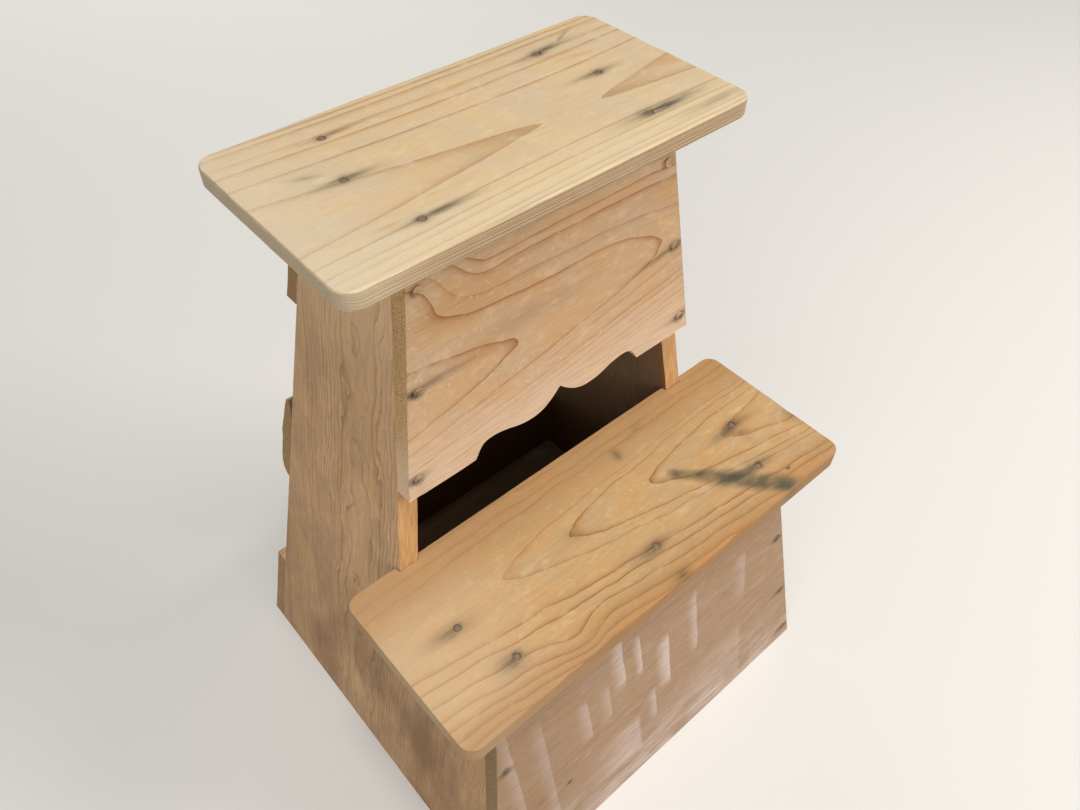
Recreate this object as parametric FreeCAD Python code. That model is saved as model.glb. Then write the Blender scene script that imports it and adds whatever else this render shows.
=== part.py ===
"""Two-step stool of old cedar boards.

Two plank sides stand splayed outwards and carry a top step and a lower step.
A panel with a scalloped lower edge closes the front under the top step, a
plain panel closes the front under the lower step, and three rails tie the
sides together at the back.  Everything is held by wire nails.

+X runs along the steps, -Y is the front, +Z is up.  The origin lies on the
floor at the middle of the stool.  Sizes are in millimetres.
"""
import FreeCAD
import Part
import math
import os
from FreeCAD import Vector

# Steps
TOP_STEP_HEIGHT = 606.0          # floor to the tread
TOP_STEP_LENGTH = 350.0
TOP_STEP_DEPTH = 180.0
TOP_STEP_THICKNESS = 15.0
TOP_STEP_CORNER = 14.0           # corner radius seen from above
TOP_STEP_OVERHANG = 25.0         # in front of the upper panel
LOWER_STEP_HEIGHT = 306.0
LOWER_STEP_LENGTH = 430.0
LOWER_STEP_DEPTH = 160.0
LOWER_STEP_THICKNESS = 18.0
LOWER_STEP_CORNER = 12.0
LOWER_STEP_OVERHANG = 30.0       # in front of the lower panel
STEP_ARRIS = 2.5                 # worn edges of both treads

# Sides
SIDE_THICKNESS = 18.0
FOOT_WIDTH = 430.0               # over the outer faces, at the floor
HEAD_WIDTH = 236.0               # over the outer faces, under the top step
FOOT_DEPTH = 380.0               # front to back edge, at the floor
HEAD_FRONT = -4.0                # front edge under the top step
HEAD_BACK = 98.0                 # back edge under the top step
SHOULDER_FRONT = -31.0           # front edge of the tall part at the shoulder
SIDE_ARRIS = 1.0

# Panels and rails
PANEL_THICKNESS = 15.0
PANEL_ARRIS = 1.2
UPPER_PANEL_DROP = 199.0         # under the top step
SCALLOP_HALF_WIDTH = 87.0
SCALLOP_RISE = 22.0
RAIL_THICKNESS = 15.0
RAIL_ARRIS = 1.0
TOP_RAIL_DROP = 115.0            # under the top step
MIDDLE_RAIL_BOTTOM = 263.0
MIDDLE_RAIL_TOP = 363.0
BOTTOM_RAIL_TOP = 116.0
# Section of the middle rail: share of thickness, share of height
WANEY_SECTION = ((0.00, 0.01), (0.20, 0.00), (0.62, 0.05), (0.92, 0.12),
                 (1.00, 0.24), (0.97, 0.42), (1.00, 0.55), (0.93, 0.72),
                 (0.86, 0.90), (0.74, 0.98), (0.42, 1.00), (0.18, 0.93),
                 (0.00, 0.80))
WANEY_NAILS = ((1.00, 0.24), (0.93, 0.72))

# Fits
NOTCH_DEPTH = 5.0                # lower step let round the tall sides
NOTCH_GAP = 0.5                  # play in the notches

# Wire nails
NAIL_LENGTH = 45.0
NAIL_SHANK = 1.3                 # radius
NAIL_HEAD = 2.9                  # radius
NAIL_HEAD_THICKNESS = 1.0
NAIL_POINT = 4.0
NAIL_BITE = 12.0                 # depth at which a step nail is centred

# Levels
HEAD_Z = TOP_STEP_HEIGHT - TOP_STEP_THICKNESS
SHOULDER_Z = LOWER_STEP_HEIGHT - LOWER_STEP_THICKNESS
UPPER_PANEL_Z = HEAD_Z - UPPER_PANEL_DROP


def between(z, z0, v0, z1, v1):
    """Value at height z on the straight line through two given heights."""
    return v0 + (v1 - v0) * (z - z0) / (z1 - z0)


def outer_x(z):
    """Half width of the frame at height z."""
    return between(z, 0.0, FOOT_WIDTH / 2, HEAD_Z, HEAD_WIDTH / 2)


def back_y(z):
    """Back edge of the sides at height z."""
    return between(z, 0.0, FOOT_DEPTH / 2, HEAD_Z, HEAD_BACK)


def tall_front_y(z):
    """Front edge of the tall part of the sides at height z."""
    return between(z, SHOULDER_Z, SHOULDER_FRONT, HEAD_Z, HEAD_FRONT)


# The two front panels lean with the edges that they are nailed to
TALL_LEAN = math.atan2(HEAD_FRONT - SHOULDER_FRONT, HEAD_Z - SHOULDER_Z)
UPPER_PANEL_STEP = PANEL_THICKNESS / math.cos(TALL_LEAN)
LOWER_STEP_BACK = tall_front_y(LOWER_STEP_HEIGHT) + NOTCH_DEPTH
LOWER_STEP_FRONT = LOWER_STEP_BACK - LOWER_STEP_DEPTH
SHOULDER_NOSE = LOWER_STEP_FRONT + LOWER_STEP_OVERHANG + PANEL_THICKNESS
LOW_LEAN = math.atan2(SHOULDER_NOSE + FOOT_DEPTH / 2, SHOULDER_Z)
LOWER_PANEL_STEP = PANEL_THICKNESS / math.cos(LOW_LEAN)
BACK_LEAN = math.atan2(FOOT_DEPTH / 2 - HEAD_BACK, HEAD_Z)
RAIL_STEP = RAIL_THICKNESS / math.cos(BACK_LEAN)
SPLAY = math.atan2((FOOT_WIDTH - HEAD_WIDTH) / 2, HEAD_Z)
SIDE_STEP = SIDE_THICKNESS / math.cos(SPLAY)


def low_front_y(z):
    """Front edge of the low part of the sides at height z."""
    return between(z, 0.0, -FOOT_DEPTH / 2, SHOULDER_Z, SHOULDER_NOSE)


def soften(solid, radius, picked):
    """Round the straight edges of a board for which picked() is true."""
    edges = [edge for edge in solid.Edges if picked(edge)]
    return solid.makeFillet(radius, edges)


def loop_face(points):
    return Part.Face(Part.makePolygon(points + [points[0]]))


def step_board(length, front, depth, top, thickness, corner):
    """A tread with rounded corners and worn arrises."""
    board = Part.makeBox(length, depth, thickness,
                         Vector(-length / 2, front, top - thickness))
    upright = [edge for edge in board.Edges
               if abs(edge.tangentAt(edge.FirstParameter).z) > 0.9]
    board = board.makeFillet(corner, upright)
    level = [edge for edge in board.Edges
             if edge.BoundBox.ZLength < 0.01]
    return board.makeFillet(STEP_ARRIS, level)


def side_plank(grow=0.0):
    """The left side: one plank, tall at the back and low at the front."""
    outline = [(-FOOT_DEPTH / 2, 0.0),
               (FOOT_DEPTH / 2, 0.0),
               (HEAD_BACK, HEAD_Z),
               (HEAD_FRONT - grow, HEAD_Z),
               (SHOULDER_FRONT - grow, SHOULDER_Z),
               (SHOULDER_NOSE, SHOULDER_Z)]
    points = [Vector(-outer_x(z) - grow, y, z) for y, z in outline]
    return loop_face(points).extrude(Vector(SIDE_STEP + 2 * grow, 0, 0))


def frame_envelope():
    """Everything between the outer faces of the two sides."""
    reach = FOOT_DEPTH
    points = [Vector(-outer_x(0.0), -reach, 0.0),
              Vector(outer_x(0.0), -reach, 0.0),
              Vector(outer_x(HEAD_Z), -reach, HEAD_Z),
              Vector(-outer_x(HEAD_Z), -reach, HEAD_Z)]
    return loop_face(points).extrude(Vector(0, 2 * reach, 0))


def cross_board(section):
    """A board right across the frame, cut off flush with the sides."""
    points = [Vector(-FOOT_WIDTH, y, z) for y, z in section]
    board = loop_face(points).extrude(Vector(2 * FOOT_WIDTH, 0, 0))
    return board.common(frame_envelope())


def leaning_section(line, bottom, top, step):
    """Section of a board whose inner face lies on the given edge line."""
    return [(line(bottom), bottom), (line(top), top),
            (line(top) + step, top), (line(bottom) + step, bottom)]


def scallop_cutter():
    """The shaped opening cut up into the lower edge of the upper panel."""
    base = UPPER_PANEL_Z
    wide = SCALLOP_HALF_WIDTH
    rise = SCALLOP_RISE
    half = [(1.00, 0.00), (0.955, 0.34), (0.90, 0.56), (0.81, 0.635),
            (0.66, 0.56), (0.52, 0.39), (0.38, 0.30), (0.24, 0.36),
            (0.12, 0.60), (0.00, 1.00)]
    right = Part.BSplineCurve()
    right.interpolate([Vector(u * wide, -FOOT_DEPTH, base + v * rise)
                       for u, v in half])
    left = Part.BSplineCurve()
    left.interpolate([Vector(-u * wide, -FOOT_DEPTH, base + v * rise)
                      for u, v in reversed(half)])
    below = base - rise
    start = Vector(-wide, -FOOT_DEPTH, base)
    end = Vector(wide, -FOOT_DEPTH, base)
    low_start = Vector(-wide, -FOOT_DEPTH, below)
    low_end = Vector(wide, -FOOT_DEPTH, below)
    wire = Part.Wire([right.toShape(), left.toShape(),
                      Part.makeLine(start, low_start),
                      Part.makeLine(low_start, low_end),
                      Part.makeLine(low_end, end)])
    return Part.Face(wire).extrude(Vector(0, 2 * FOOT_DEPTH, 0))


def nail(head, direction):
    """One nail, its head flush at the given point, driven along direction."""
    points = [Vector(0, 0, 0),
              Vector(NAIL_HEAD, 0, 0),
              Vector(NAIL_HEAD, 0, NAIL_HEAD_THICKNESS),
              Vector(NAIL_SHANK, 0, NAIL_HEAD_THICKNESS),
              Vector(NAIL_SHANK, 0, NAIL_LENGTH - NAIL_POINT),
              Vector(0, 0, NAIL_LENGTH)]
    body = loop_face(points).revolve(Vector(0, 0, 0), Vector(0, 0, 1), 360)
    turn = FreeCAD.Rotation(Vector(0, 0, 1), direction)
    body.Placement = FreeCAD.Placement(head, turn)
    return body


def side_middle_x(z):
    """Middle of a side plank's thickness at height z."""
    return outer_x(z) - SIDE_STEP / 2


def face_nails(line, step, lean, heights):
    """Nails through a cross board into both sides, square to its face."""
    out = math.copysign(1.0, step)
    inward = Vector(0, -out * math.cos(lean), -math.sin(lean))
    nails = []
    for z in heights:
        for side in (-1, 1):
            head = Vector(side * side_middle_x(z), line(z) + step, z)
            nails.append(nail(head, inward))
    return nails


def top_step_nails():
    """Into the back rail, the two sides and the upper panel."""
    z = TOP_STEP_HEIGHT
    down = Vector(0, 0, -1)
    rail_y = back_y(HEAD_Z) + RAIL_STEP / 2
    panel_y = tall_front_y(HEAD_Z) - UPPER_PANEL_STEP / 2
    side_y = (HEAD_FRONT + HEAD_BACK) / 2 + 7
    reach = side_middle_x(HEAD_Z - NAIL_BITE)
    nails = []
    for side in (-1, 1):
        nails.append(nail(Vector(side * 0.86 * reach, rail_y, z), down))
        nails.append(nail(Vector(side * reach, side_y, z), down))
        nails.append(nail(Vector(side * 0.88 * reach, panel_y, z), down))
    return nails


def lower_step_nails():
    """Into the two sides and the lower panel."""
    z = LOWER_STEP_HEIGHT
    down = Vector(0, 0, -1)
    panel_y = SHOULDER_NOSE - LOWER_PANEL_STEP / 2
    side_y = between(0.63, 0.0, SHOULDER_FRONT, 1.0, SHOULDER_NOSE)
    reach = side_middle_x(SHOULDER_Z - NAIL_BITE)
    nails = []
    for side in (-1, 1):
        nails.append(nail(Vector(side * reach, side_y, z), down))
        nails.append(nail(Vector(side * 0.88 * reach, panel_y, z), down))
    nails.append(nail(Vector(10, panel_y, z), down))
    return nails


def bare_edge(edge):
    """Every edge of a side but the inside corner at the shoulder."""
    inside = all(abs(v.Z - SHOULDER_Z) < 0.05
                 and abs(v.Y - SHOULDER_FRONT) < 0.05
                 for v in edge.Vertexes)
    return not inside


def facing(edge, line, step):
    """True for an edge that lies wholly in the outer face of a board."""
    return all(abs(v.Y - line(v.Z) - step) < 0.05 for v in edge.Vertexes)


def make_boards():
    boards = {}
    top_front = HEAD_FRONT - UPPER_PANEL_STEP - TOP_STEP_OVERHANG
    boards["top_step"] = step_board(
        TOP_STEP_LENGTH, top_front, TOP_STEP_DEPTH,
        TOP_STEP_HEIGHT, TOP_STEP_THICKNESS, TOP_STEP_CORNER)

    lower = step_board(
        LOWER_STEP_LENGTH, LOWER_STEP_FRONT, LOWER_STEP_DEPTH,
        LOWER_STEP_HEIGHT, LOWER_STEP_THICKNESS, LOWER_STEP_CORNER)
    tall = side_plank(NOTCH_GAP)
    above = Part.makeBox(2000, 2000, 1000, Vector(-1000, -1000, SHOULDER_Z))
    tall = tall.common(above)
    lower = lower.cut(tall)
    lower = lower.cut(tall.mirror(Vector(0, 0, 0), Vector(1, 0, 0)))
    boards["lower_step"] = lower

    left = soften(side_plank(), SIDE_ARRIS, bare_edge)
    boards["left_side"] = left
    boards["right_side"] = left.mirror(Vector(0, 0, 0), Vector(1, 0, 0))

    upper = cross_board(leaning_section(
        tall_front_y, UPPER_PANEL_Z, HEAD_Z, -UPPER_PANEL_STEP))
    upper = soften(upper, PANEL_ARRIS,
                   lambda e: facing(e, tall_front_y, -UPPER_PANEL_STEP))
    boards["upper_front_panel"] = upper.cut(scallop_cutter())

    front = cross_board(leaning_section(
        low_front_y, 0.0, SHOULDER_Z, -LOWER_PANEL_STEP))
    boards["lower_front_panel"] = soften(
        front, PANEL_ARRIS,
        lambda e: facing(e, low_front_y, -LOWER_PANEL_STEP))

    for name, low, high in (("back_rail_top", HEAD_Z - TOP_RAIL_DROP, HEAD_Z),
                            ("back_rail_bottom", 0.0, BOTTOM_RAIL_TOP)):
        rail = cross_board(leaning_section(back_y, low, high, RAIL_STEP))
        boards[name] = soften(rail, RAIL_ARRIS,
                              lambda e: facing(e, back_y, RAIL_STEP))
    boards["back_rail_middle"] = waney_rail()
    return boards


def waney_rail():
    """The middle rail still carries the round of the log on its edges."""
    section = []
    for out, up in WANEY_SECTION:
        z = middle_rail_z(up)
        section.append((back_y(z) + out * RAIL_STEP, z))
    return cross_board(section)


def middle_rail_z(up):
    """Height of a point at a given share of the middle rail's height."""
    return between(up, 0.0, MIDDLE_RAIL_BOTTOM, 1.0, MIDDLE_RAIL_TOP)


def middle_rail_nails():
    """Two nails a side, their heads flush on the uneven face."""
    nails = []
    for out, up in WANEY_NAILS:
        nails += face_nails(back_y, out * RAIL_STEP, BACK_LEAN,
                            [middle_rail_z(up)])
    return nails


def rail_heights(low, high):
    """Two nails up the height of a rail."""
    return (low + 0.25 * (high - low), low + 0.75 * (high - low))


def make_nails():
    """Each group of nails with the boards that it goes through."""
    panel_heights = [UPPER_PANEL_Z + share * UPPER_PANEL_DROP
                     for share in (0.09, 0.48, 0.87)]
    low_heights = [share * SHOULDER_Z for share in (0.06, 0.32, 0.65)]
    sides = ["left_side", "right_side"]
    top_low = HEAD_Z - TOP_RAIL_DROP
    return {
        "top_step_nails": (
            top_step_nails(),
            ["top_step", "upper_front_panel", "back_rail_top"] + sides),
        "lower_step_nails": (
            lower_step_nails(),
            ["lower_step", "lower_front_panel"] + sides),
        "upper_panel_nails": (
            face_nails(tall_front_y, -UPPER_PANEL_STEP, TALL_LEAN,
                       panel_heights),
            ["upper_front_panel"] + sides),
        "lower_panel_nails": (
            face_nails(low_front_y, -LOWER_PANEL_STEP, LOW_LEAN,
                       low_heights),
            ["lower_front_panel"] + sides),
        "top_rail_nails": (
            face_nails(back_y, RAIL_STEP, BACK_LEAN,
                       rail_heights(top_low, HEAD_Z)),
            ["back_rail_top"] + sides),
        "middle_rail_nails": (
            middle_rail_nails(),
            ["back_rail_middle"] + sides),
        "bottom_rail_nails": (
            face_nails(back_y, RAIL_STEP, BACK_LEAN,
                       rail_heights(0.0, BOTTOM_RAIL_TOP)),
            ["back_rail_bottom"] + sides),
    }


def main():
    boards = make_boards()
    nodes = {}
    for name, (nails, through) in make_nails().items():
        group = Part.makeCompound(nails)
        for board in through:
            boards[board] = boards[board].cut(group)
        nodes[name] = group
    nodes.update(boards)
    os.makedirs("parts", exist_ok=True)
    for name, shape in nodes.items():
        shape.exportStep("parts/" + name + ".step")


main()
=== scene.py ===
import math

import bmesh
import bpy
from mathutils import Matrix, Vector, noise


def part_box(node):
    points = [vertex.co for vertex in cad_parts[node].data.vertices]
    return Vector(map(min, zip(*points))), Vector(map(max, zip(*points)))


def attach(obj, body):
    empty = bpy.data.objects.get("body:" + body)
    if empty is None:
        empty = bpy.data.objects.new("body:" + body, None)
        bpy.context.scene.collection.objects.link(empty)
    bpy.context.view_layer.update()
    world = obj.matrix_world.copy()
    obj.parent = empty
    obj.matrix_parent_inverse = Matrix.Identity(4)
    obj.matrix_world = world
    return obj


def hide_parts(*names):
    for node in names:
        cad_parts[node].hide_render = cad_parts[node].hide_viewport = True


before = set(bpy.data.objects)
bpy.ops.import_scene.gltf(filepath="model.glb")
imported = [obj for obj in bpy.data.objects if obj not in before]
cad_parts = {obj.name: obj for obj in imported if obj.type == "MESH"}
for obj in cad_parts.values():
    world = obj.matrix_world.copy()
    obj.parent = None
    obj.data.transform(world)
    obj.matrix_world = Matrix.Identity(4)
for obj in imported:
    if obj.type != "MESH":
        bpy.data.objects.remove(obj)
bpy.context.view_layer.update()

# ---------------- sizes
# Everything here is in millimetres, X along the steps, -Y the front, Z up.
# Each board is laid out flat (u, v, depth w) and then put in place.
MM = 0.001
FOOT_HALF, HEAD_HALF = 215, 118     # half widths over the sides
HEAD_Z, SHOULDER_Z = 591, 288       # tops of the tall and low sides
FOOT_BACK, HEAD_BACK = 190, 98
SHOULDER_FRONT, HEAD_FRONT = -31, -4
SIDE_LEAN = (FOOT_HALF - HEAD_HALF) / HEAD_Z
OVERHANG, PANEL = 30, 15            # of the lower tread, and below it
# Thicknesses of the leaning boards, measured level
SIDE_STEP, RAIL_STEP = 18.24, 15.18
UPPER_STEP, LOWER_STEP = 15.06, 15.23
# The heights where boards start or end
UPPER_PANEL_Z, TOP_RAIL_Z, BOTTOM_RAIL_Z = 392, 476, 116
MIDDLE_RAIL = (263, 363)
# Half of the scalloped edge, as shares of its half width and its rise
SCALLOP = ((1, 0), (0.955, 0.34), (0.9, 0.56), (0.81, 0.635), (0.66, 0.56),
           (0.52, 0.39), (0.38, 0.3), (0.24, 0.36), (0.12, 0.6))
SCALLOP_HALF, SCALLOP_RISE = 87, 22
# The middle rail's section, as shares of its thickness and its height
WANEY = ((0, 0.01), (0.2, 0), (0.62, 0.05), (0.92, 0.12), (1, 0.24),
         (0.97, 0.42), (1, 0.55), (0.93, 0.72), (0.86, 0.9), (0.74, 0.98),
         (0.42, 1), (0.18, 0.93), (0, 0.8))
SMOOTH_BELOW = math.radians(38)


def corners(node):
    """A node's lowest and highest corners."""
    return [[c / MM for c in corner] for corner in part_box(node)]


def line(z, z0, v0, z1, v1):
    return v0 + (v1 - v0) * (z - z0) / (z1 - z0)


def outer_x(z):
    return line(z, 0, FOOT_HALF, HEAD_Z, HEAD_HALF)


def back_y(z):
    return line(z, 0, FOOT_BACK, HEAD_Z, HEAD_BACK)


def tall_y(z):
    return line(z, SHOULDER_Z, SHOULDER_FRONT, HEAD_Z, HEAD_FRONT)


LOW_NOSE = corners("lower_step")[0][1] + OVERHANG + PANEL


def low_y(z):
    return line(z, 0, -FOOT_BACK, SHOULDER_Z, LOW_NOSE)


# ---------------- boards
def in_place(u, v, w, origin):
    """The matrix that puts a laid-out board, in millimetres, in place."""
    turn = Matrix((u, v, w)).transposed().to_4x4()
    return Matrix.Scale(MM, 4) @ Matrix.Translation(origin) @ turn


def leaning(edge, out):
    """For a board laid on a leaning edge line, its depth going out."""
    lean = edge(1) - edge(0)
    return in_place((1, 0, 0), (0, lean, 1), (0, out, 0), (0, edge(0), 0))


def flat_face(points):
    bm = bmesh.new()
    bm.faces.new([bm.verts.new((u, v, 0)) for u, v in points])
    return bm


def everything(bm):
    return bm.verts[:] + bm.edges[:] + bm.faces[:]


def slice_across(bm, axis, spacing):
    """Cuts the board across into strips about as wide as the spacing."""
    reach = [v.co[axis] for v in bm.verts]
    low, high = min(reach), max(reach)
    strips = max(1, round((high - low) / spacing))
    normal = Vector((0, 0, 0))
    normal[axis] = 1
    for i in range(1, strips):
        at = normal * (low + (high - low) * i / strips)
        bmesh.ops.bisect_plane(bm, geom=everything(bm), dist=1e-4,
                               plane_co=at, plane_no=normal)


def outward(bm):
    """Turns every face of a closed board outwards."""
    bmesh.ops.recalc_face_normals(bm, faces=bm.faces[:])
    if bm.calc_volume(signed=True) < 0:
        bmesh.ops.reverse_faces(bm, faces=bm.faces[:])
    bm.normal_update()


def draw_out(bm, way):
    """Draws a flat outline out into a solid, the given way."""
    made = bmesh.ops.extrude_face_region(bm, geom=bm.faces[:],
                                         use_keep_orig=True)
    moved = [g for g in made["geom"] if isinstance(g, bmesh.types.BMVert)]
    bmesh.ops.translate(bm, verts=moved, vec=way)


def round_arrises(bm, radius, segments):
    """Rounds the arrises round the two faces of a board, and marks them."""
    arris = bm.verts.layers.float.new("arris")
    bm.normal_update()
    rims = []
    for edge in bm.edges:
        if len(edge.link_faces) == 2:
            a, b = (abs(f.normal.z) for f in edge.link_faces)
            if max(a, b) > 0.9 and min(a, b) < 0.3:
                rims.append(edge)
    bmesh.ops.bevel(bm, geom=rims, offset=radius, offset_type="OFFSET",
                    segments=segments, profile=0.5, affect="EDGES",
                    material=-1, clamp_overlap=True)
    outward(bm)
    for vert in bm.verts:
        steep = abs(vert.normal.z)
        if 0.02 < steep < 0.999:
            vert[arris] = 1 if 0.25 < steep < 0.93 else 0.35


def age(bm, seed, wear, sway, chips=(), dips=()):
    """Wears the arrises unevenly and leaves the faces slightly untrue.

    chips: (u, v, w, radius, depth) each, at the arrises.
    dips: (u, v, width, height, depth) each, worn into the show face.
    """
    arris = bm.verts.layers.float["arris"]
    outward(bm)
    for vert in bm.verts:
        p = vert.co
        rough = noise.noise(Vector((p.x / 23, p.y / 23, p.z / 9 + seed)))
        fine = noise.noise(Vector((p.x / 7, p.y / 7, p.z / 7 - seed)))
        slow = noise.noise(Vector((p.x / 110 + seed, p.y / 70, p.z / 90)))
        depth = sway * (0.5 + 0.5 * slow)
        depth += vert[arris] * wear * max(0, 0.4 + 0.6 * rough
                                          + 0.3 * fine)
        for u, v, w, radius, deep in chips:
            gap = (p - Vector((u, v, w))).length / radius
            if gap < 1:
                depth += deep * (1 - gap * gap)
        for u, v, wide, high, deep in dips:
            gap = ((p.x - u) / wide) ** 2 + ((p.y - v) / high) ** 2
            if abs(vert.normal.z) > 0.3 and p.z < 4:
                depth += deep * math.exp(-gap)
        vert.co = p - vert.normal * depth


def finished(bm, matrix, name):
    """The board as an object at the origin, its place in its mesh."""
    if matrix is not None:
        bmesh.ops.transform(bm, matrix=matrix, verts=bm.verts[:])
    outward(bm)
    mesh = bpy.data.meshes.new(name)
    bm.to_mesh(mesh)
    bm.free()
    piece = bpy.data.objects.new(name, mesh)
    bpy.context.scene.collection.objects.link(piece)
    return piece


def settled_mesh(holder):
    """A new mesh of an object with its modifiers or its curve worked out."""
    bpy.context.view_layer.update()
    graph = bpy.context.evaluated_depsgraph_get()
    return bpy.data.meshes.new_from_object(holder.evaluated_get(graph))


def cut(piece, cutter, solver="EXACT"):
    """Cuts the cutter out of the piece for good."""
    tool = piece.modifiers.new("cut", "BOOLEAN")
    tool.operation = "DIFFERENCE"
    tool.solver = solver
    tool.object = cutter
    mesh = settled_mesh(piece)
    piece.modifiers.clear()
    bm = bmesh.new()
    bm.from_mesh(mesh)
    outward(bm)
    bm.to_mesh(piece.data)
    bm.free()
    bpy.data.meshes.remove(mesh)
    bpy.data.objects.remove(cutter)


def shade(piece):
    mesh = piece.data
    for face in mesh.polygons:
        face.use_smooth = True
    mesh.set_sharp_from_angle(angle=SMOOTH_BELOW)
    crisp = piece.modifiers.new("crisp", "WEIGHTED_NORMAL")
    crisp.keep_sharp = True
    crisp.weight = 50


# ---------------- nails
NAIL_REACH = 34
NAIL_PROFILE = ((0, 0), (1.2, 0.05), (2.2, 0.22), (2.75, 0.5), (2.85, 0.75),
                (2.6, 1.05), (1.25, 1.2), (1.25, NAIL_REACH - 4),
                (0, NAIL_REACH))
HEAD_DEPTH = 1.1           # the part of the profile that is the head
PIT = 0.4                 # how deep the heads are sunk
PIT_RADIUS = 3.3
PIT_CUT = 3.4              # length of the cutter, mostly outside the board


def driven(head, direction, sunk):
    """Places something made along Z at a nail's head, pointing in."""
    turn = Vector(direction).to_track_quat("Z", "Y").to_matrix().to_4x4()
    return Matrix.Scale(MM, 4) @ Matrix.Translation(head) @ turn \
        @ Matrix.Translation((0, 0, sunk))


def pit_cutter(nails):
    """Small tapering holes for the sunk heads, 1 object for all of them."""
    bm = bmesh.new()
    for i, (head, direction) in enumerate(nails):
        wide = PIT_RADIUS + 0.25 * noise.noise(Vector((i * 1.7, 3.1, 0)))
        bmesh.ops.create_cone(bm, cap_ends=True, segments=24,
                              radius1=wide + 0.5, radius2=wide - 0.25,
                              depth=PIT_CUT,
                              matrix=driven(head, direction, -0.3))
    return finished(bm, None, "pits")


def nail_group(name, nails, seed):
    """The nails of one joint, with domed, slightly bent heads."""
    bm = bmesh.new()
    for i, (head, direction) in enumerate(nails):
        one = bmesh.new()
        chain = [one.verts.new((r, 0, d)) for r, d in NAIL_PROFILE]
        edges = [one.edges.new(pair) for pair in zip(chain, chain[1:])]
        bmesh.ops.spin(one, geom=chain + edges, cent=(0, 0, 0),
                       axis=(0, 0, 1), angle=math.tau, steps=20,
                       use_merge=True)
        bmesh.ops.remove_doubles(one, verts=one.verts[:], dist=1e-3)
        for vert in one.verts:
            if vert.co.z < HEAD_DEPTH:
                p = vert.co + Vector((7 * i, seed, 0))
                vert.co.z += 0.16 * noise.noise(p * 0.8)
                vert.co.xy *= 1 + 0.05 * noise.noise(p * 0.45)
        bmesh.ops.recalc_face_normals(one, faces=one.faces[:])
        tilt = Matrix.Rotation(
            0.05 * noise.noise(Vector((i * 2.3, seed, 1))), 4, "X")
        bmesh.ops.transform(one, verts=one.verts[:],
                            matrix=driven(head, direction, PIT) @ tilt)
        mesh = bpy.data.meshes.new("nail")
        one.to_mesh(mesh)
        one.free()
        bm.from_mesh(mesh)
        bpy.data.meshes.remove(mesh)
    return finished(bm, None, name)


def mid_side(z):
    return outer_x(z) - SIDE_STEP / 2


def face_nails(edge, step, heights):
    """Nails through a cross board into both sides, square to its face."""
    lean = math.atan(edge(1) - edge(0))
    out = math.copysign(1, step)
    inward = (0, -out * math.cos(lean), out * math.sin(lean))
    return [((side * mid_side(z), edge(z) + step, z), inward)
            for z in heights for side in (-1, 1)]


def tread_nails(node, places, odd=()):
    """Nails straight down at places on both sides, and the odd ones."""
    top = round(corners(node)[1][2])
    both = [(s * x, y) for s in (-1, 1) for x, y in places]
    return [((x, y, top), (0, 0, -1)) for x, y in both + list(odd)]


# Each group of nails, and the board that they are driven through
NAILS = {
    "top_step_nails": ("top_step", tread_nails(
        "top_step", ((95.5, 105.6), (111, 54), (97.7, -11.5)))),
    "lower_step_nails": ("lower_step", tread_nails(
        "lower_step", ((160.5, -99.7), (141.2, -147.3)),
        ((10, -147.3),))),
    "upper_panel_nails": ("upper_front_panel", face_nails(
        tall_y, -UPPER_STEP, (409.9, 487.5, 565.1))),
    "lower_panel_nails": ("lower_front_panel", face_nails(
        low_y, -LOWER_STEP, (17.3, 92.2, 187.2))),
    "top_rail_nails": ("back_rail_top", face_nails(
        back_y, RAIL_STEP, (504.75, 562.25))),
    "middle_rail_nails": ("back_rail_middle", face_nails(
        back_y, RAIL_STEP, (287,)) + face_nails(
            back_y, 0.93 * RAIL_STEP, (335,))),
    "bottom_rail_nails": ("back_rail_bottom", face_nails(
        back_y, RAIL_STEP, (29, 87))),
}


# ---------------- pieces
def tread(node, name, corner, seed, dips, chips):
    """One of the two steps, with rounded corners."""
    (_, front, under), (half, back, top) = corners(node)
    bm = flat_face([(-half, front), (half, front), (half, back),
                    (-half, back)])
    bmesh.ops.bevel(bm, geom=bm.verts[:], offset=corner, offset_type="OFFSET",
                    segments=9, profile=0.5, affect="VERTICES", material=-1)
    slice_across(bm, 0, 5)
    slice_across(bm, 1, 6)
    draw_out(bm, (0, 0, top - under))
    outward(bm)
    round_arrises(bm, 2.5, 5)
    age(bm, seed, 0.7, 0.22, chips, dips)
    return finished(bm, in_place((1, 0, 0), (0, 1, 0), (0, 0, -1),
                                 (0, 0, top)), name)


def board(bm, name, matrix, thick, arris, seed, wear, chips=()):
    """A board from its flat outline."""
    slice_across(bm, 0, 7)
    slice_across(bm, 1, 7)
    draw_out(bm, (0, 0, thick))
    outward(bm)
    round_arrises(bm, arris, 3)
    age(bm, seed, wear, 0.25, chips)
    return finished(bm, matrix, name)


def cross_board(name, edge, out, low, high, thick, arris, seed, wear=0.5,
                chips=()):
    """A plain board across both sides, its ends along their lean."""
    bm = flat_face([(-outer_x(low), low), (outer_x(low), low),
                    (outer_x(high), high), (-outer_x(high), high)])
    return board(bm, name, leaning(edge, out), thick, arris, seed, wear,
                 chips)


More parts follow.
